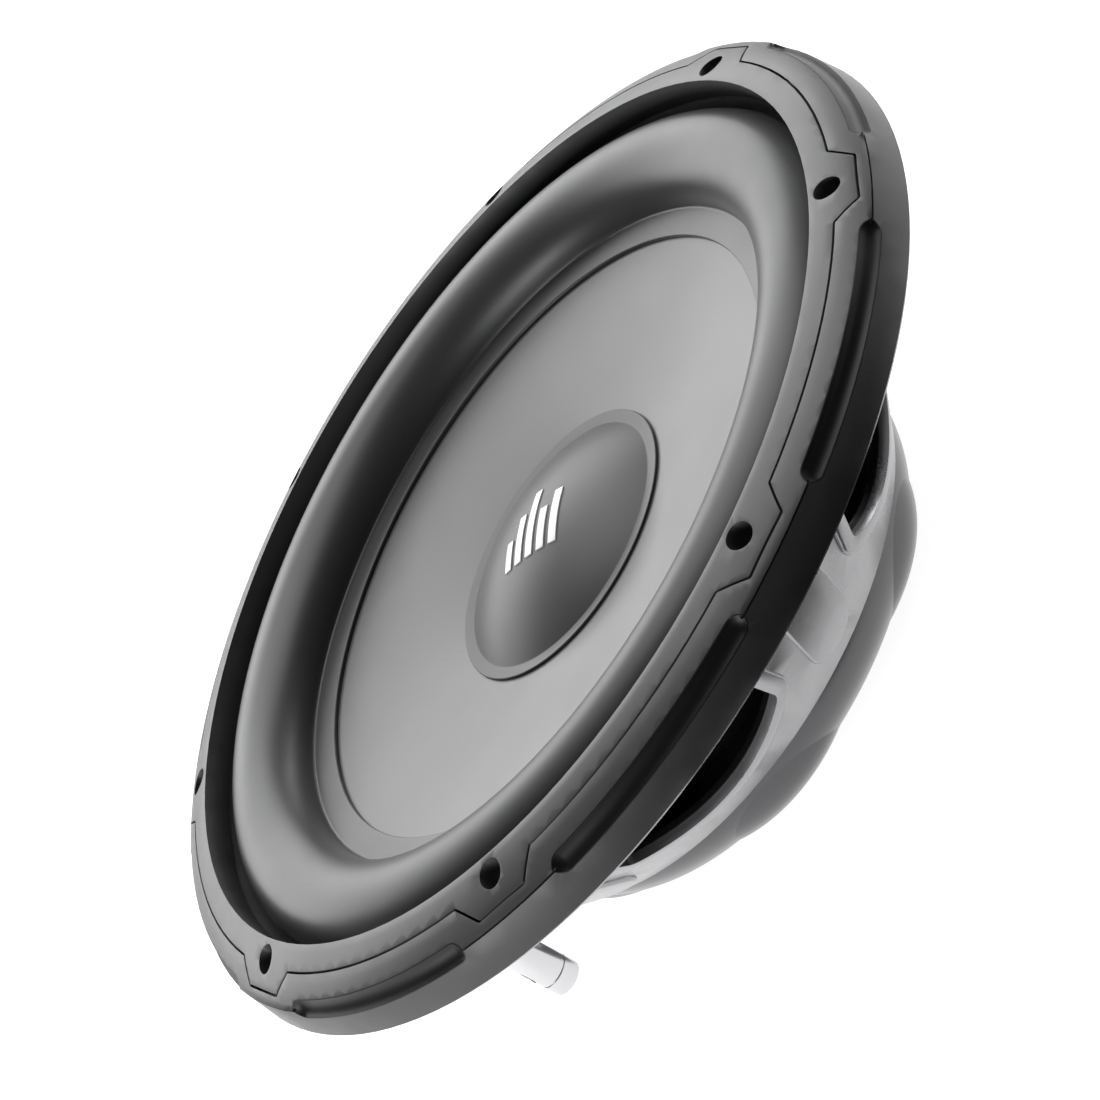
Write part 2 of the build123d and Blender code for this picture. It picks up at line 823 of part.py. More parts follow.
for polarity, side in (("negative", -1), ("positive", 1)):
    post_y = side * post_spacing / 2

    with BuildPart() as barrel:
        with BuildSketch(Plane.XY.offset(barrel_z)):
            with Locations((post_x, post_y)):
                Circle(post_r)
        extrude(amount=barrel_top_z - barrel_z)
        with BuildSketch(Plane.XY.offset(barrel_top_z)):
            with Locations((post_x, post_y)):
                Circle(stud_r)
        extrude(amount=stud_top_z - barrel_top_z)
        with BuildSketch(Plane.XY.offset(barrel_z)):
            with Locations((post_x, post_y)):
                Circle(plunger_r + running_clearance)
        extrude(amount=bore_top_z - barrel_z, mode=Mode.SUBTRACT)
        for slot_plane in (Plane.XZ, Plane.YZ):
            across = post_x if slot_plane is Plane.XZ else post_y
            along = -post_y if slot_plane is Plane.XZ else post_x
            with BuildSketch(slot_plane.offset(along)):
                with Locations((across, slot_z + slot_length / 2)):
                    SlotOverall(slot_length, 2 * wire_hole_r, rotation=90)
            extrude(amount=post_r + 1.0, both=True, mode=Mode.SUBTRACT)
    save(barrel, f"terminal_barrel_{polarity}")

    with BuildPart() as collar:
        with BuildSketch(Plane.XY.offset(tip_z)):
            with Locations((post_x, post_y)):
                Circle(post_r)
        extrude(amount=barrel_z - collar_neck - tip_z)
        fillet(collar.faces().sort_by(Axis.Z)[0].edges(), radius=0.9)
        with BuildSketch(Plane.XY.offset(barrel_z - collar_neck)):
            with Locations((post_x, post_y)):
                Circle(post_r - 0.5)
        extrude(amount=collar_neck)
        with BuildSketch(Plane.XY.offset(tip_z)):
            with Locations((post_x, post_y)):
                Circle(button_r + running_clearance)
        extrude(amount=barrel_z - tip_z, mode=Mode.SUBTRACT)
        with BuildSketch(Plane.XY.offset(shoulder_z)):
            with Locations((post_x, post_y)):
                Circle(plunger_r + running_clearance)
        extrude(amount=barrel_z - shoulder_z, mode=Mode.SUBTRACT)
    save(collar, f"terminal_collar_{polarity}")

    with BuildPart() as plunger:
        with BuildSketch(Plane.XY.offset(tip_z - 0.6)):
            with Locations((post_x, post_y)):
                Circle(button_r)
        extrude(amount=plunger_top_z - tip_z + 0.6)
        fillet(plunger.faces().sort_by(Axis.Z)[0].edges(), radius=0.5)
        with BuildSketch(Plane.XY.offset(shoulder_z)):
            with Locations((post_x, post_y)):
                Circle(plunger_r)
        extrude(amount=plunger_top_z - shoulder_z)
        for hole_plane in (Plane.XZ, Plane.YZ):
            across = post_x if hole_plane is Plane.XZ else post_y
            along = -post_y if hole_plane is Plane.XZ else post_x
            with BuildSketch(hole_plane.offset(along)):
                with Locations((across, wire_hole_z)):
                    Circle(wire_hole_r)
            extrude(amount=plunger_r + 1.0, both=True, mode=Mode.SUBTRACT)
    save(plunger, f"terminal_plunger_{polarity}")

    with BuildPart() as spring:
        spring_wire = 0.35
        spring_path = Helix(
            pitch=(bore_top_z - plunger_top_z - 2 * spring_wire - 2 * glue_gap) / 5,
            height=bore_top_z - plunger_top_z - 2 * spring_wire - 2 * glue_gap,
            radius=plunger_r - spring_wire - 0.2,
            center=(post_x, post_y, plunger_top_z + spring_wire + glue_gap),
            mode=Mode.PRIVATE,
        )
        with BuildSketch(Plane(origin=spring_path @ 0, z_dir=spring_path % 0)):
            Circle(spring_wire)
        sweep(path=spring_path, is_frenet=True)
    save(spring, f"terminal_spring_{polarity}")

    with BuildPart() as colour_ring:
        with BuildSketch(Plane.XY.offset(block_z - ring_t)):
            with Locations((post_x, post_y)):
                Circle(post_r + ring_margin)
                Circle(post_r + running_clearance, mode=Mode.SUBTRACT)
        extrude(amount=ring_t)
    save(colour_ring, f"terminal_ring_{polarity}")

    with BuildPart() as lug:
        with BuildSketch(Plane.XY.offset(shelf_top_z)):
            with Locations((post_x, post_y)):
                Circle(4.2)
            with Locations((post_x + lug_tail / 2, post_y)):
                Rectangle(lug_tail, 3.6)
            with Locations((post_x, post_y)):
                Circle(stud_r + running_clearance, mode=Mode.SUBTRACT)
        extrude(amount=lug_t)
    save(lug, f"solder_lug_{polarity}")

    with BuildPart() as nut:
        with BuildSketch(Plane.XY.offset(shelf_top_z + lug_t)):
            with Locations((post_x, post_y)):
                RegularPolygon(radius=3.9, side_count=6)
                Circle(stud_r + running_clearance, mode=Mode.SUBTRACT)
        extrude(amount=nut_t)
    save(nut, f"terminal_nut_{polarity}")

    # flexible lead from the lug to a solder tab on the former
    with BuildPart() as coil_tab:
        with BuildSketch(Plane.XZ):
            with BuildLine():
                Polyline(
                    (former_r, tab_z),
                    (former_r + tab_t, tab_z),
                    (former_r + tab_t, tab_z + tab_height),
                    (former_r, tab_z + tab_height),
                    close=True,
                )
            make_face()
        revolve(axis=Axis.Z, revolution_arc=8.0)
    tab_part = coil_tab.part.rotate(Axis.Z, 180 - side * tab_angle - 4.0)
    tab_part.label = f"coil_tab_{polarity}"
    export_step(tab_part, f"parts/coil_tab_{polarity}.step")

    tab_out_r = former_r + tab_t + 0.15
    tab_x = -tab_out_r * cos(radians(tab_angle)) - 0.1
    tab_y = side * tab_out_r * sin(radians(tab_angle))
    lead_run = lead_start_x - tab_x
    last_run = 0.16 * lead_run
    last_y = tab_y - side * last_run * tan(radians(tab_angle))
    route = [
        (lead_start_x, post_y, lead_z),
        (lead_start_x - 0.20 * lead_run, post_y * 0.98, lead_z + 2.5),
        (lead_start_x - 0.42 * lead_run, post_y * 0.80, lead_z + 6.0),
        (lead_start_x - 0.64 * lead_run, post_y * 0.58, lead_z + 6.5),
        (tab_x + last_run, last_y, lead_z + 3.5),
        (tab_x, tab_y, tab_z + tab_height / 2),
    ]
    bends = []
    for before, corner, after in zip(route, route[1:], route[2:]):
        run_in = Vector(*corner) - Vector(*before)
        run_out = Vector(*after) - Vector(*corner)
        half_turn = radians(run_in.get_angle(run_out)) / 2
        bends.append(0.45 * min(run_in.length, run_out.length) / tan(half_turn))
    with BuildPart() as lead:
        with BuildLine() as lead_path:
            FilletPolyline(*route, radius=bends)
        with BuildSketch(Plane(origin=lead_path.line @ 0, z_dir=lead_path.line % 0)):
            Circle(lead_r)
        sweep(path=lead_path.line)
    save(lead, f"tinsel_lead_{polarity}")
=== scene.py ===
import json
import math

import bpy
import numpy as np
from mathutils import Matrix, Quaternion, Vector


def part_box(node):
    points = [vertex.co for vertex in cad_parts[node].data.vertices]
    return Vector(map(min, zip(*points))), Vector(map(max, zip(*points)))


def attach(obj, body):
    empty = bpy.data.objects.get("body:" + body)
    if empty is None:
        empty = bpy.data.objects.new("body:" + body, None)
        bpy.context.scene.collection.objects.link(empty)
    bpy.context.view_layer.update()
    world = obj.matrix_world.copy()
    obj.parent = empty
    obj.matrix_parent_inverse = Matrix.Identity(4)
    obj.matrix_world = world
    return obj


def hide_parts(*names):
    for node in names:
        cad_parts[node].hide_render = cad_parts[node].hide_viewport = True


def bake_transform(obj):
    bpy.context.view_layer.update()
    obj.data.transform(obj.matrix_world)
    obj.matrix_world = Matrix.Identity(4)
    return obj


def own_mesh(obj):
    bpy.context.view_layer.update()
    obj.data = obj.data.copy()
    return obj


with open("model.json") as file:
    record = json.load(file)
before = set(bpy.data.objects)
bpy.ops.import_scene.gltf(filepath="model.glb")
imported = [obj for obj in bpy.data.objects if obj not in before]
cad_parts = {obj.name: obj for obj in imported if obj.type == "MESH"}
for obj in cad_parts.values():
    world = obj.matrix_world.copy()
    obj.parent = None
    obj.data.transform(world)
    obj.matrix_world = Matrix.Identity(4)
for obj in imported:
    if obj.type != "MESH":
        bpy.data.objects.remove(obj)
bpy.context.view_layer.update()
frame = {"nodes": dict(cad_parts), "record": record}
nodes = frame["nodes"]
MM = 0.001

# Radii and heights of the pieces that are remade here, in millimetres, as in part.py.
ROLL_R, ROLL_CENTRE_R, ROLL_Z, RUBBER_T = 13.1, 105.25, 72.7, 1.2
LIP_TOP_Z, LIP_OUTER_R, LIP_INNER_R = 73.0, 120.9, 84.25
CONE_EDGE_R, CONE_EDGE_Z, CONE_SLOPE = 92.15, 71.5, math.tan(math.radians(7.7))
CONE_T, CONE_EDGE_LAP, NECK_LENGTH = 1.2, 0.7, 7.0
FORMER_R, SPIDER_R, SPIDER_SEAT, SPIDER_Z = 25.45, 70.5, 6.0, 42.0
SPIDER_WAVES, SPIDER_SWING, SPIDER_COLLAR = 6, 1.5, 3.0
SPIDER_FREE_R = SPIDER_R - SPIDER_SEAT - 0.5
SKIN_T, CAP_R, CAP_BAND, CAP_HEIGHT = 0.8, 38.0, 3.5, 9.0
POST_X, POST_Y = -96.0, 18.8
LEAD_R, LEAD_Z, LEAD_INSET, LEAD_GAP = 1.0, 49.85, 10.0, 0.65
LEAD_LAST_SHARE, LEAD_END_GAP, TAB_ANGLE = 0.16, 0.1, math.radians(12)
SPRING_R, SPRING_WIRE_R, SPRING_TURNS, SPRING_TOP_Z = 2.7, 0.35, 5, 40.0

# The basket's outer wall is a cone: its radius at z = 0 and its run for each millimetre up.
WALL_SLOPE = 37.5 / 48.1
WALL_FOOT = 77.5 - 21.9 * WALL_SLOPE

# Each cove in the trim ring's shoulder follows an arc between two of the eight mounting holes.
HALF_BAY = math.tau / 16
COVE_R, COVE_CIRCLE_R, COVE_Z, COVE_HALF_ANGLE = 4.2, 136.7, 82.25, 0.62 * HALF_BAY
SIDE_R, SIDE_Z = 133.6, 80.8        # the trim ring's side starts beyond and below these

SECTORS = 24                        # pieces that a flexible ring is cut into
SECTOR_STEPS = 30
HAIR = 0.02                         # keeps a remade piece off its neighbours
SEAT_GAP = 0.03
BUMP_DEPTH = 0.0002                 # metres
GRAIN_DEPTH = 0.00008


def cone_top(radius):
    """Height of the cone's front face at a radius, in millimetres."""
    return CONE_EDGE_Z - (CONE_EDGE_R - radius) * CONE_SLOPE


# ---------------------------------------------------------------- shapes
def add_object(name, data):
    """A new object in the scene that holds the data."""
    obj = bpy.data.objects.new(name, data)
    bpy.context.scene.collection.objects.link(obj)
    return obj


def rounded(corners, steps=7):
    """A closed outline through corners (r, z, radius), each rounded to its radius."""
    outline = []
    for i, (r, z, radius) in enumerate(corners):
        here = Vector((r, z))
        if radius <= 0:
            outline.append(here)
            continue
        before = Vector(corners[i - 1][:2]) - here
        after = Vector(corners[(i + 1) % len(corners)][:2]) - here
        half = before.angle(after) / 2
        reach = min(radius / math.tan(half), 0.48 * before.length, 0.48 * after.length)
        radius = reach * math.tan(half)
        middle = here + (before.normalized() + after.normalized()).normalized() * radius / math.sin(half)
        first = here + before.normalized() * reach - middle
        last = here + after.normalized() * reach - middle
        turn = first.angle_signed(last)
        for step in range(steps + 1):
            swing = -turn * step / steps
            outline.append(middle + Vector((
                first.x * math.cos(swing) - first.y * math.sin(swing),
                first.x * math.sin(swing) + first.y * math.cos(swing),
            )))
    return outline


def lathe(name, outline, start=0.0, sweep=360.0, steps=360):
    """Turns a closed outline of (r, z) in millimetres about Z, with exact normals."""
    points = np.array([tuple(p) for p in outline])
    along = np.roll(points, -1, 0) - points
    length = np.maximum(np.linalg.norm(along, axis=1, keepdims=True), 1e-9)
    face = np.stack([along[:, 1], -along[:, 0]], 1) / length
    area = np.sum(points[:, 0] * np.roll(points[:, 1], -1) - np.roll(points[:, 0], -1) * points[:, 1])
    face *= 1 if area > 0 else -1
    normal = face + np.roll(face, 1, 0)
    normal /= np.maximum(np.linalg.norm(normal, axis=1, keepdims=True), 1e-9)
    ring = sweep >= 360
    columns = steps if ring else steps + 1
    angles = np.radians(start + sweep * np.arange(columns) / steps)
    cos, sin = np.cos(angles)[:, None], np.sin(angles)[:, None]
    place = np.stack([points[:, 0] * cos, points[:, 0] * sin, points[:, 1] + 0 * cos], 2) * MM
    point_normal = np.stack([normal[:, 0] * cos, normal[:, 0] * sin, normal[:, 1] + 0 * cos], 2)
    count = len(points)
    faces = []
    for column in range(steps):
        following = (column + 1) % columns
        for i in range(count):
            j = (i + 1) % count
            quad = (column * count + i, following * count + i, following * count + j, column * count + j)
            faces.append(quad if area > 0 else quad[::-1])
    mesh = bpy.data.meshes.new(name)
    mesh.from_pydata(place.reshape(-1, 3).tolist(), [], faces)
    mesh.shade_smooth()
    mesh.normals_split_custom_set_from_vertices(point_normal.reshape(-1, 3).tolist())
    return add_object(name, mesh)


def tube(name, path, radius, sides=12):
    """A round tube along points in metres, closed at both ends."""
    path = [Vector(p) for p in path]
    verts, faces = [], []
    side = None
    for i, point in enumerate(path):
        ahead = (path[min(i + 1, len(path) - 1)] - path[max(i - 1, 0)]).normalized()
        if side is None:
            side = ahead.orthogonal().normalized()
        side = (side - ahead * side.dot(ahead)).normalized()
        up = ahead.cross(side)
        for k in range(sides):
            angle = math.tau * k / sides
            verts.append(point + (side * math.cos(angle) + up * math.sin(angle)) * radius)
    for i in range(len(path) - 1):
        for k in range(sides):
            m = (k + 1) % sides
            faces.append((i * sides + k, i * sides + m, (i + 1) * sides + m, (i + 1) * sides + k))
    faces.append(tuple(reversed(range(sides))))
    faces.append(tuple((len(path) - 1) * sides + k for k in range(sides)))
    mesh = bpy.data.meshes.new(name)
    mesh.from_pydata(verts, [], faces)
    mesh.shade_smooth()
    return add_object(name, mesh)


# ---------------------------------------------------------------- materials
class Graph:
    """A material's node tree with a short way to add and join nodes."""

    def __init__(self, name):
        self.material = bpy.data.materials.new(name)
        self.material.use_nodes = True
        self.tree = self.material.node_tree
        self.shader = self.tree.nodes["Principled BSDF"]

    def add(self, kind, **settings):
        node = self.tree.nodes.new(kind)
        for key, value in settings.items():
            if key in node.inputs:
                node.inputs[key].default_value = value
            else:
                setattr(node, key, value)
        return node

    def math(self, operation, a, b):
        """A math node on two sockets or numbers."""
        node = self.tree.nodes.new("ShaderNodeMath")
        node.operation = operation
        for slot, value in enumerate((a, b)):
            if isinstance(value, (int, float)):
                node.inputs[slot].default_value = value
            else:
                self.tree.links.new(value, node.inputs[slot])
        return node.outputs[0]

    def ramp(self, value, low, high, out_low, out_high, smooth=True):
        """Maps a socket from one range to another, held at both ends."""
        node = self.tree.nodes.new("ShaderNodeMapRange")
        node.interpolation_type = "SMOOTHSTEP" if smooth else "LINEAR"
        self.tree.links.new(value, node.inputs["Value"])
        ends = {"From Min": low, "From Max": high, "To Min": out_low, "To Max": out_high}
        for socket, number in ends.items():
            node.inputs[socket].default_value = number
        return node.outputs["Result"]

    def mix(self, share, a, b):
        """Two colours, a where the share is 0 and b where it is 1."""
        node = self.tree.nodes.new("ShaderNodeMix")
        node.data_type = "RGBA"
        self.tree.links.new(share, node.inputs["Factor"])
        for slot, value in (("A", a), ("B", b)):
            if isinstance(value, tuple):
                node.inputs[slot].default_value = (*value, 1)
            else:
                self.tree.links.new(value, node.inputs[slot])
        return node.outputs["Result"]

    def feed(self, socket, target):
        """Joins a socket to one of the shader's."""
        self.tree.links.new(socket, self.shader.inputs[target])

    def hold(self, **values):
        """Sets the shader's own sockets, where an underscore stands for a space."""
        for socket, value in values.items():
            self.shader.inputs[socket.replace("_", " ")].default_value = value

    def place(self):
        """The object's own coordinates."""
        return self.add("ShaderNodeTexCoord").outputs["Object"]

    def polar(self):
        """Sockets of a point's x, y, z and its distance from the Z axis."""
        axes = self.add("ShaderNodeSeparateXYZ")
        self.tree.links.new(self.place(), axes.inputs["Vector"])
        x, y, z = (axes.outputs[k] for k in "XYZ")
        squares = self.math("ADD", self.math("MULTIPLY", x, x), self.math("MULTIPLY", y, y))
        return x, y, z, self.math("SQRT", squares, 0.0)

    def texture(self, kind, **settings):
        """A procedural texture in the object's own coordinates."""
        node = self.add(kind, **settings)
        self.tree.links.new(self.place(), node.inputs["Vector"])
        return node.outputs["Fac"]

    def relief(self, height, strength, depth=BUMP_DEPTH):
        """Raises the surface by a height socket."""
        bump = self.add("ShaderNodeBump", Strength=strength, Distance=depth)
        self.tree.links.new(height, bump.inputs["Height"])
        self.feed(bump.outputs["Normal"], "Normal")


def surface(name, color, roughness, metallic=0.0, grain=0.0002, bump=0.15, spread=0.08, **sockets):
    """A moulded, cast or plated finish: fine grain in the bump, slow change in colour and gloss."""
    g = Graph(name)
    fine = g.texture("ShaderNodeTexNoise", Scale=1.0 / grain, Detail=4.0, Roughness=0.6)
    slow = g.texture("ShaderNodeTexNoise", Scale=18.0, Detail=6.0, Roughness=0.65)
    tone = g.ramp(slow, 0.25, 0.75, 1.0 - spread, 1.0 + spread)
    dark = tuple(c * (1.0 - spread) for c in color)
    light = tuple(min(1.0, c * (1.0 + spread)) for c in color)
    g.feed(g.mix(slow, dark, light), "Base Color")
    g.feed(g.math("MULTIPLY", tone, roughness), "Roughness")
    g.relief(fine, bump, GRAIN_DEPTH)
    g.hold(Metallic=metallic, **sockets)
    return g


def trim_material_with_painted_shade():
    """The outer ring: satin face, with painted shade darkening the side below the shoulder's groove and
    painted shade making the coves near-black.
    """
    g = surface("trim_rubber", (0.052, 0.052, 0.054), 0.42, grain=0.0003)
    x, y, z, radius = g.polar()
    # painted shade: the ring's side beyond and below the shoulder gets a darker colour for the shade it
    # stands in
    beyond = g.ramp(radius, SIDE_R * MM, (SIDE_R + 0.3) * MM, 0, 1)
    below = g.ramp(z, SIDE_Z * MM, (SIDE_Z + 0.2) * MM, 1, 0)
    side = g.math("MULTIPLY", beyond, below)
    # how far a point is from the nearest cove's centre line
    turn = g.math("ADD", g.math("ARCTAN2", y, x), math.tau)
    sector = g.math("SUBTRACT", g.math("PINGPONG", turn, HALF_BAY), HALF_BAY)
    past = g.math("SUBTRACT", g.math("ABSOLUTE", sector, 0.0), COVE_HALF_ANGLE)
    past = g.math("MAXIMUM", past, 0.0)
    out = g.math("SUBTRACT", g.math("MULTIPLY", radius, g.math("COSINE", past, 0.0)), COVE_CIRCLE_R * MM)
    across = g.math("MULTIPLY", radius, g.math("SINE", past, 0.0))
    up = g.math("SUBTRACT", z, COVE_Z * MM)
    squares = g.math("ADD", g.math("MULTIPLY", out, out), g.math("MULTIPLY", across, across))
    away = g.math("SQRT", g.math("ADD", squares, g.math("MULTIPLY", up, up)), 0.0)
    # painted shade: the coves' hollows are coloured near-black and given less specular, for the shade
    # that falls in them
    cove_shade_mask = g.ramp(away, (COVE_R + 0.15) * MM, (COVE_R + 0.35) * MM, 1, 0)
    tone = g.shader.inputs["Base Color"].links[0].from_socket
    # the side's darker colour is painted shade
    side_tone_with_painted_shade = g.mix(side, tone, (0.034, 0.034, 0.035))
    g.feed(g.mix(cove_shade_mask, side_tone_with_painted_shade, (0.008, 0.008, 0.008)), "Base Color")
    g.feed(g.ramp(cove_shade_mask, 0, 1, 0.5, 0.22, smooth=False), "Specular IOR Level")
    return g


def basket_material_with_painted_inner_shade():
    """Cast metal, bright outside, with painted shade inside the sloping wall: near-black and not
    metallic there.
    """
    g = surface("basket_metal", (0.40, 0.40, 0.41), 0.27, 0.75, grain=0.0005, bump=0.02)
    _, _, z, radius = g.polar()
    wall = g.math("ADD", g.math("MULTIPLY", z, WALL_SLOPE), WALL_FOOT * MM)
    # painted shade: inside the wall the colour goes to near-black and the metal to non-metal, for the
    # shade inside the basket
    clear_of_painted_inner_shade = g.ramp(g.math("SUBTRACT", radius, wall), -2.2 * MM, -1.4 * MM, 0, 1)
    tone = g.shader.inputs["Base Color"].links[0].from_socket
    g.feed(g.mix(clear_of_painted_inner_shade, (0.006, 0.006, 0.006), tone), "Base Color")
    g.feed(g.ramp(clear_of_painted_inner_shade, 0, 1, 0.0, 0.75, smooth=False), "Metallic")
    return g


def cloth_material():
    """Resin-treated cloth: two crossed sets of threads in the bump."""
    g = surface("spider_cloth", (0.014, 0.013, 0.012), 0.8, grain=0.0004)
    warp, weft = (
        g.texture("ShaderNodeTexWave", Scale=180.0, Distortion=0.4, bands_direction=axis)
        for axis in "XY"
    )
    g.relief(g.math("MAXIMUM", warp, weft), 0.5)
    return g


def braid_material():
    """Braided tinsel: fine crossed strands."""
    g = surface("lead_braid", (0.50, 0.36, 0.22), 0.4, 0.7)
    strand = g.texture("ShaderNodeTexWave", Scale=320.0, Distortion=1.5, bands_direction="DIAGONAL")
    g.relief(strand, 0.6)
    return g


def winding_material():
    """Enamelled wire in even turns."""
    g = surface("copper", (0.62, 0.24, 0.10), 0.28, 1.0)
    g.relief(g.texture("ShaderNodeTexWave", Scale=700.0, bands_direction="Z"), 0.8)
    return g


FINISH = {
    "basket_metal": basket_material_with_painted_inner_shade(),
    "trim_rubber": trim_material_with_painted_shade(),
    "ring_plastic": surface("ring_plastic", (0.048, 0.048, 0.050), 0.42, grain=0.0003),
    "surround_rubber": surface(
        "surround_rubber", (0.036, 0.036, 0.038), 0.40, grain=0.0003, Specular_IOR_Level=0.45
    ),
    "cone_plastic": surface("cone_plastic", (0.085, 0.085, 0.087), 0.38, grain=0.0003),
    "cap_plastic": surface(
        "cap_plastic", (0.060, 0.060, 0.062), 0.42, grain=0.0003, Specular_IOR_Level=0.32
    ),
    "badge_ink": surface("badge_ink", (0.90, 0.90, 0.91), 0.35, grain=0.0003),
    "spider_cloth": cloth_material(),
    "former_metal": surface("former_metal", (0.75, 0.75, 0.76), 0.28, 1.0),
    "copper": winding_material(),
    "motor_steel": surface("motor_steel", (0.09, 0.09, 0.095), 0.34, 0.9),
    "ferrite": surface("ferrite", (0.045, 0.045, 0.05), 0.55, 0.2),
    "cover_metal": surface("cover_metal", (0.12, 0.12, 0.124), 0.24, 0.85),
    "mesh_steel": surface("mesh_steel", (0.55, 0.55, 0.56), 0.30, 1.0),
    "black_steel": surface("black_steel", (0.03, 0.03, 0.032), 0.35, 0.8),
    "block_plastic": surface("block_plastic", (0.02, 0.02, 0.02), 0.45),
    "terminal_chrome": surface("terminal_chrome", (0.66, 0.66, 0.67), 0.12, 1.0, spread=0.03),
    "ring_black": surface("ring_black", (0.012, 0.012, 0.012), 0.25),
    "ring_red": surface("ring_red", (0.50, 0.02, 0.02), 0.25),
    "lug_brass": surface("lug_brass", (0.75, 0.68, 0.50), 0.25, 1.0),
    "lead_braid": braid_material(),
}


def finish(obj, slot):
    """Gives a piece its one material, the one made for the record's slot."""
    obj.data.materials.clear()
    obj.data.materials.append(FINISH[slot].material)


for entry in frame["record"]["subparts"]:
    node = nodes[entry["node"]]
    node.data.materials.clear()
    node.data.materials.append(FINISH[entry["material_slot"]].material)


def soften(name, width):
    """Rounds a CAD node's sharp edges a little, by a width in millimetres."""
    weld = nodes[name].modifiers.new("weld", "WELD")
    weld.merge_threshold = 1e-6
    bevel = nodes[name].modifiers.new("bevel", "BEVEL")
    bevel.limit_method = "ANGLE"
    bevel.angle_limit = math.radians(35)
    bevel.width = width * MM
    bevel.segments = 3
    bevel.use_clamp_overlap = True
    bevel.harden_normals = True


# ---------------------------------------------------------------- surround and spider
def arc(centre_r, centre_z, radius, first, last, steps):
    """Points along an arc, angles in degrees, as outline corners."""
    return [
        (
            centre_r + radius * math.cos(math.radians(first + (last - first) * k / steps)),
            centre_z + radius * math.sin(math.radians(first + (last - first) * k / steps)),
            0,
        )
        for k in range(steps + 1)
    ]


def surround_outline():
    """Half-roll of rubber with its outer lip clamped and its inner lip glued on the cone."""
    inside = ROLL_R - RUBBER_T
    return rounded([
        *arc(ROLL_CENTRE_R, ROLL_Z, ROLL_R, 3.5, 176.5, 96),
        (CONE_EDGE_R - 0.2, ROLL_Z - 0.35, 1.0),
        (LIP_INNER_R, cone_top(LIP_INNER_R) + RUBBER_T, 0.5),
        (LIP_INNER_R, cone_top(LIP_INNER_R) + HAIR, 0),
        (ROLL_CENTRE_R - inside, cone_top(ROLL_CENTRE_R - inside) + HAIR, 0),
        *arc(ROLL_CENTRE_R, ROLL_Z, inside, 178, 2, 72),
        (ROLL_CENTRE_R + inside, LIP_TOP_Z - RUBBER_T + HAIR, 0),
        (LIP_OUTER_R, LIP_TOP_Z - RUBBER_T + HAIR, 0.3),
        (LIP_OUTER_R, LIP_TOP_Z - HAIR, 0.3),
    ])


def spider_outline():
    """Corrugated disc from a collar on the former to a flat seat on the basket."""
    hub = FORMER_R + 2.5
    steps = 16 * SPIDER_WAVES
    waves = []
    for step in range(steps + 1):
        share = step / steps
        swing = SPIDER_SWING * math.sin(share * SPIDER_WAVES * math.tau)
        waves.append((hub + share * (SPIDER_FREE_R - hub), SPIDER_Z + swing))
    upper = [(r, z + SKIN_T, 0) for r, z in waves]
    lower = [(r, z, 0) for r, z in reversed(waves)]
    return rounded([
        (FORMER_R + SEAT_GAP, SPIDER_Z, 0),
        (FORMER_R + SEAT_GAP, SPIDER_Z + SPIDER_COLLAR, 0.2),
        (FORMER_R + SKIN_T, SPIDER_Z + SPIDER_COLLAR, 0.2),
        (FORMER_R + SKIN_T, SPIDER_Z + SKIN_T, 0.8),
        *upper,
        (SPIDER_R, SPIDER_Z + SKIN_T, 0.2),
        (SPIDER_R, SPIDER_Z + HAIR, 0.2),
        *lower,
    ])


def flexible_ring(name, slot, outline):
    """Sectors of one ring between the frame and the cone, turned about Z in place of its CAD node, which
    is hidden.
    """
    sweep = 360 / SECTORS
    for k in range(SECTORS):
        sector = lathe(f"{name}_{k:02d}", outline, k * sweep, sweep, SECTOR_STEPS)
        finish(sector, slot)
        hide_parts(name)
        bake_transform(sector)


flexible_ring("surround", "surround_rubber", surround_outline())
flexible_ring("spider", "spider_cloth", spider_outline())


# ---------------------------------------------------------------- cone and dust cap
def cone_outline():
    """Shallow dish with a neck down the coil former."""
    edge_r, root_r = CONE_EDGE_R + CONE_EDGE_LAP, FORMER_R + 2.6
    neck_z = cone_top(FORMER_R) - NECK_LENGTH
    return rounded([
        (FORMER_R + SEAT_GAP, cone_top(FORMER_R), 0.2),
        (edge_r, cone_top(edge_r), 0.4),
        (edge_r, cone_top(edge_r) - CONE_T, 0.4),
        (root_r, cone_top(root_r) - CONE_T, 1.6),
        (FORMER_R + CONE_T, neck_z, 0.3),
        (FORMER_R + SEAT_GAP, neck_z, 0.2),
    ])


def cap_outline():
    """Dome with a flat band glued to the cone, and a groove where they meet."""
    foot_r = CAP_R - CAP_BAND
    foot_z = cone_top(foot_r)
    ball = (foot_r**2 + CAP_HEIGHT**2) / (2 * CAP_HEIGHT)
    top = foot_z + SKIN_T + CAP_HEIGHT

    def dome(radius):
        return top - ball + math.sqrt(ball**2 - radius**2)

    radii = [foot_r * k / 60 for k in range(1, 60)]
    return rounded([
        (HAIR, top, 0),
        *[(r, dome(r), 0) for r in radii],
        (foot_r, foot_z + SKIN_T, 0.7),
        (CAP_R, cone_top(CAP_R) + SKIN_T, 0.35),
        (CAP_R, cone_top(CAP_R) + SEAT_GAP, 0.1),
        (foot_r, foot_z + SEAT_GAP, 0),
        *[(r, dome(r) - SKIN_T, 0) for r in reversed(radii)],
        (HAIR, top - SKIN_T, 0),
    ])


for name, slot, outline in (
    ("cone", "cone_plastic", cone_outline()),
    ("dust_cap", "cap_plastic", cap_outline()),
):
    turned = lathe(f"{name}_turned", outline, steps=540)
    finish(turned, slot)
    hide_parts(name)
    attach(turned, "cone")


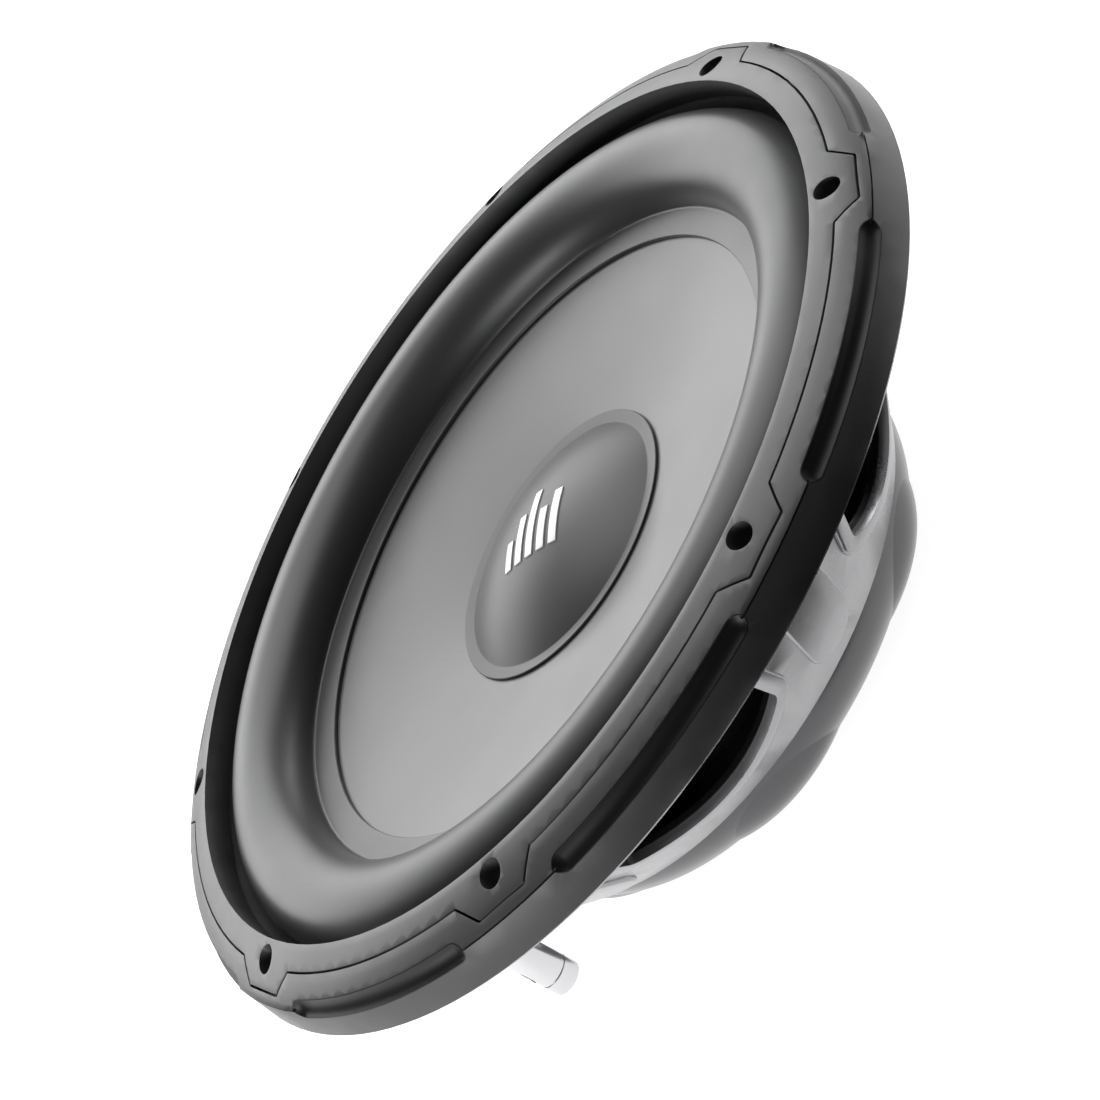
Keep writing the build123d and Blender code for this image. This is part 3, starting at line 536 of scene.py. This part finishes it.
# ---------------------------------------------------------------- leads and springs
def smooth_route(points):
    """Points read from a NURBS spline through control points in metres."""
    curve = bpy.data.curves.new("route", "CURVE")
    curve.dimensions = "3D"
    spline = curve.splines.new("NURBS")
    spline.points.add(len(points) - 1)
    for point, place in zip(spline.points, points):
        point.co = (*place, 1)
    spline.order_u = 3
    spline.use_endpoint_u = True
    spline.resolution_u = 24
    holder = bpy.data.objects.new("route", curve)
    mesh = bpy.data.meshes.new_from_object(holder)
    path = [v.co.copy() for v in mesh.vertices]
    bpy.data.objects.remove(holder)
    bpy.data.curves.remove(curve)
    bpy.data.meshes.remove(mesh)
    return path


def tinsel_lead(polarity, side):
    """Braided lead from a solder lug to its tab on the coil former."""
    low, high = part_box(f"coil_tab_{polarity}")
    start_x = POST_X + LEAD_INSET
    tab_r = FORMER_R + LEAD_GAP
    tab_x = -tab_r * math.cos(TAB_ANGLE) - LEAD_END_GAP
    tab_y = side * tab_r * math.sin(TAB_ANGLE)
    run = start_x - tab_x
    last_run = LEAD_LAST_SHARE * run
    route = [
        (start_x, side * POST_Y, LEAD_Z),
        (start_x - 0.20 * run, side * POST_Y * 0.98, LEAD_Z + 2.5),
        (start_x - 0.42 * run, side * POST_Y * 0.80, LEAD_Z + 6.0),
        (start_x - 0.64 * run, side * POST_Y * 0.58, LEAD_Z + 6.5),
        (tab_x + last_run, tab_y - side * last_run * math.tan(TAB_ANGLE), LEAD_Z + 3.5),
        (tab_x, tab_y, (low.z + high.z) / 2 / MM),
    ]
    path = smooth_route([(x * MM, y * MM, z * MM) for x, y, z in route])
    lead = tube(f"tinsel_{polarity}", path, LEAD_R * MM)
    finish(lead, "lead_braid")
    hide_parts(f"tinsel_lead_{polarity}")
    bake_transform(lead)


def terminal_spring(polarity, side):
    """Coil spring between a plunger and the top of its bore."""
    low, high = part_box(f"terminal_spring_{polarity}")
    foot, head = low.z / MM + SPRING_WIRE_R, high.z / MM - SPRING_WIRE_R
    steps = 48 * SPRING_TURNS
    coil = []
    for k in range(steps + 1):
        turn = SPRING_TURNS * math.tau * k / steps
        coil.append((
            (POST_X + SPRING_R * math.cos(turn)) * MM,
            (side * POST_Y + SPRING_R * math.sin(turn)) * MM,
            (foot + (head - foot) * k / steps) * MM,
        ))
    spring = tube(f"spring_{polarity}", coil, SPRING_WIRE_R * MM, 8)
    finish(spring, "mesh_steel")
    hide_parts(f"terminal_spring_{polarity}")
    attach(spring, "frame")
    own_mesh(spring)


for polarity, side in (("negative", -1), ("positive", 1)):
    tinsel_lead(polarity, side)
    terminal_spring(polarity, side)

for name, width in (("clamp_ring", 0.18), ("trim_ring", 0.18), ("basket", 0.3), ("badge", 0.08)):
    soften(name, width)


# ---------------------------------------------------------------- camera
def make_camera():
    """A long lens above the rim, rolled so that the speaker's axis leans to the upper left."""
    target = Vector((-0.00103, 0.00018, 0.06587))
    distance = 1.02543
    azimuth, elevation, roll = math.radians(-9.883), math.radians(25.154), math.radians(59.443)
    back = Vector((
        math.sin(azimuth) * math.cos(elevation),
        -math.cos(azimuth) * math.cos(elevation),
        math.sin(elevation),
    ))
    data = bpy.data.cameras.new("camera")
    data.sensor_width = 36.0
    data.lens = 134.48
    data.shift_x = -0.00285
    data.shift_y = -0.00490
    data.clip_start, data.clip_end = 0.1, 20.0
    camera = add_object("camera", data)
    camera.rotation_mode = "QUATERNION"
    camera.location = target + back * distance
    level = (-back).to_track_quat("-Z", "Y")
    camera.rotation_quaternion = level @ Quaternion((0, 0, 1), -roll)
    bpy.context.scene.camera = camera


make_camera()


# ---------------------------------------------------------------- stage and light
def flat_card(name, x0, x1, y0, y1, z):
    """A flat rectangle that belongs to the stage."""
    mesh = bpy.data.meshes.new(name)
    mesh.from_pydata([(x0, y0, z), (x1, y0, z), (x1, y1, z), (x0, y1, z)], [], [(0, 1, 2, 3)])
    card = add_object(name, mesh)
    return card


floor = flat_card("floor", -4, 4, -4, 4, 0)
paper = Graph("floor")
paper.hold(
    Base_Color=(0.55, 0.55, 0.55, 1),
    Roughness=1.0,
    Specular_IOR_Level=0.0,
    Emission_Color=(1, 1, 1, 1),
    Emission_Strength=0.92,
)
floor.data.materials.append(paper.material)
floor.visible_diffuse = False

# black flags in front keep the floor's reflection off the near side of the rim
felt = Graph("flag")
felt.hold(Base_Color=(0.005, 0.005, 0.005, 1), Specular_IOR_Level=0.0)
for name, edges in (
    ("flag_far", (-0.30, 0.42, -1.6, -0.18)),
    ("flag_near", (-0.02, 0.09, -0.18, -0.085)),
):
    flag = flat_card(name, *edges, 0.003)
    flag.data.materials.append(felt.material)
    flag.visible_camera = False
    flag.visible_shadow = False


def area_light(name, place, aim, size, power):
    """A soft rectangular light at a place, turned to what it lights."""
    data = bpy.data.lights.new(name, "AREA")
    data.shape = "RECTANGLE"
    data.size, data.size_y = size
    data.energy = power
    light = add_object(name, data)
    light.location = place
    light.rotation_mode = "QUATERNION"
    light.rotation_quaternion = (Vector(aim) - Vector(place)).to_track_quat("-Z", "Y")
    light.visible_camera = False


middle = (0, 0, 0.06)
area_light("back", (0.2, 1.7, 0.92), middle, (2.8, 1.25), 46)
area_light("top", (0.7, 0.4, 1.7), middle, (1.6, 1.4), 26)
area_light("left", (-1.3, -0.25, 0.3), middle, (0.8, 0.5), 12)
area_light("right", (1.3, 0.5, 0.25), middle, (0.7, 0.5), 5)

world = bpy.data.worlds.new("world")
world.use_nodes = True
sky = world.node_tree.nodes["Background"]
sky.inputs["Color"].default_value = (1, 1, 1, 1)
sky.inputs["Strength"].default_value = 0.03
bpy.context.scene.world = world
bpy.context.scene.view_settings.view_transform = "Standard"
